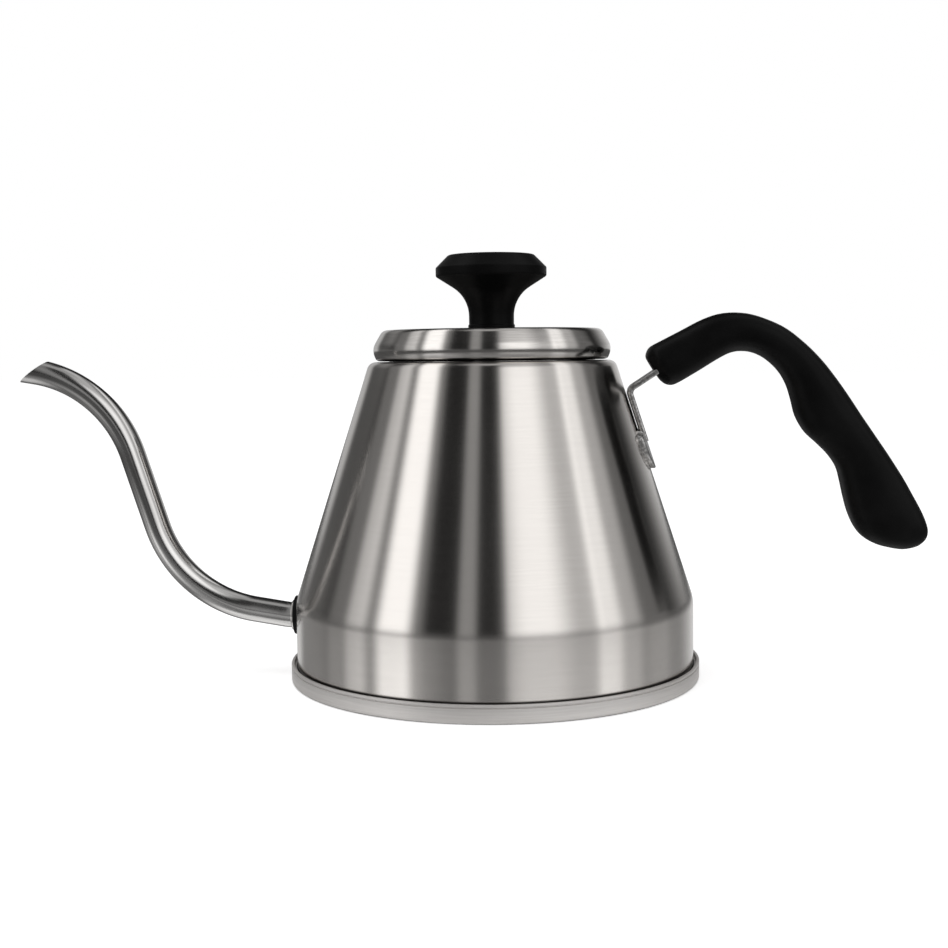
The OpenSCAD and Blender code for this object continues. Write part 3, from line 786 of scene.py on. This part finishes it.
room = Room(world.node_tree)
toward = room.add("ShaderNodeTexCoord", out="Generated")
x, y, z = (room.add("ShaderNodeSeparateXYZ", inputs={0: toward}, out=i) for i in range(3))
eye_swing = math.radians(3.5)   # how far round the kettle the camera stands
sideways = x * math.cos(eye_swing) + y * math.sin(eye_swing)
onward = y * math.cos(eye_swing) - x * math.sin(eye_swing)
half_bearing = room.add("ShaderNodeMath", {"operation": "ARCTAN2"}, {0: sideways, 1: 1 - onward})
bearing = half_bearing * (360 / math.pi)
height = room.add("ShaderNodeMath", {"operation": "ARCSINE"}, {0: z}) * (180 / math.pi)


def soft_boxes(*boxes):
    """Light of upright soft boxes, each (bearing of its middle, half width, fade, level) in degrees."""
    total = 0.0
    for middle, half, fade, level in boxes:
        off = room.add("ShaderNodeMath", {"operation": "ABSOLUTE"}, {0: bearing - middle})
        total = total + (1 - off.between(half - fade, half + fade)) * level
    return total


over_table = height.between(-14, 10)
# the tall boxes before the kettle, and the broad main one, which fades towards the ceiling
tall = soft_boxes((-58.2, 10, 4.2, 1.50), (-46, 5.5, 3.5, 0.20), (-74, 8, 5, 0.20), (-84, 7.3, 4, 0.66),
                  (-99.5, 7, 4, 0.18), (-15.3, 5, 2.2, 0.34), (76, 14, 5, 0.53),
                  (67, 7.5, 4, 0.68), (103, 11, 4, 0.15)) * (over_table * 0.2 + 0.8)
main = (soft_boxes((35, 28.2, 2.2, 0.64), (25, 15, 9.5, 0.75))
        * (over_table * 0.5 + 0.5) * (1 - height.between(38, 60) * 0.5))
off_horizon = room.add("ShaderNodeMath", {"operation": "ABSOLUTE"}, {0: height - 3})
horizon_dip = off_horizon.between(1, 7) * 0.22 + 0.78
in_front = 1 - onward.between(0.35, 0.65)
# the boxes behind the kettle, and the room's own faint light
rear = bearing.between(115, 162) * 0.62 + (0 - bearing).between(137, 149) * 0.42
high_left = soft_boxes((-134, 24, 10, 0.13)) * (height.between(12, 34) * 1.4 + 0.6)
walls = (tall + main) * horizon_dip * in_front + high_left + rear + 0.016
# what comes up from under the table's level
low_left = (0 - bearing).between(120, 140) * (1 - height.between(-34, -20)) * 0.3
straight_down = (1 - height.between(-58, -44)) * 0.8
low_boxes = soft_boxes((108, 15, 8, 0.16), (54, 14, 10, 0.12), (-42, 11, 8, 0.16)) + 0.14
low_light = low_left + straight_down + (1 - over_table) * low_boxes
overhead = height.between(68, 84)
mirror_light = walls * height.between(-45, -18) * (1 - overhead) + overhead * 0.5 + low_light
seen_directly = room.add("ShaderNodeLightPath", out="Is Camera Ray")
mirrored = room.add("ShaderNodeLightPath", out="Is Glossy Ray")
room_level = 0.72
light = seen_directly + (1 - seen_directly) * (mirrored * mirror_light + (1 - mirrored) * room_level)
background = room.tree.nodes["Background"]
room.feed(background.inputs["Strength"], light)
room.feed(background.inputs["Color"], (1, 1, 1, 1))

lamp_side, lamp_watts, lamp_at, lamp_tilt = 0.9, 3.0, (-0.15, -0.15, 1.2), math.radians(-7)
lamp = bpy.data.objects.new("overhead_lamp", bpy.data.lights.new("overhead_lamp", "AREA"))
lamp.data.shape, lamp.data.size, lamp.data.energy = "SQUARE", lamp_side, lamp_watts
lamp.location = lamp_at
lamp.rotation_euler = (lamp_tilt, lamp_tilt, 0)
lamp.visible_glossy = False
bpy.context.scene.collection.objects.link(lamp)

# the camera: its distance and height, and the turns of its axis down, sideways and round itself
eye_out, eye_up = 0.47914, 0.11054
eye_down, eye_turn, eye_lean = 0.0861, -0.0137, -0.0115
sensor_mm, image_px, focal_px = 36.0, 948, 1400.96
ahead = Vector((-math.sin(eye_swing), math.cos(eye_swing), 0))
aside = Vector((math.cos(eye_swing), math.sin(eye_swing), 0))
heading = ahead * math.cos(eye_turn) + aside * math.sin(eye_turn)
level_right = aside * math.cos(eye_turn) - ahead * math.sin(eye_turn)
forward = heading * math.cos(eye_down) - Vector((0, 0, 1)) * math.sin(eye_down)
level_up = level_right.cross(forward)
right = level_right * math.cos(eye_lean) + level_up * math.sin(eye_lean)
upward = level_up * math.cos(eye_lean) - level_right * math.sin(eye_lean)
camera = bpy.data.objects.new("camera", bpy.data.cameras.new("camera"))
camera.data.sensor_width = sensor_mm
camera.data.lens = focal_px / image_px * sensor_mm
camera.data.clip_start = 0.01
eye = Vector((eye_out * math.sin(eye_swing), -eye_out * math.cos(eye_swing), eye_up))
camera.matrix_world = Matrix.Translation(eye) @ Matrix((right, upward, -forward)).transposed().to_4x4()
bpy.context.scene.collection.objects.link(camera)
bpy.context.scene.camera = camera
bpy.context.scene.view_settings.view_transform = "Standard"
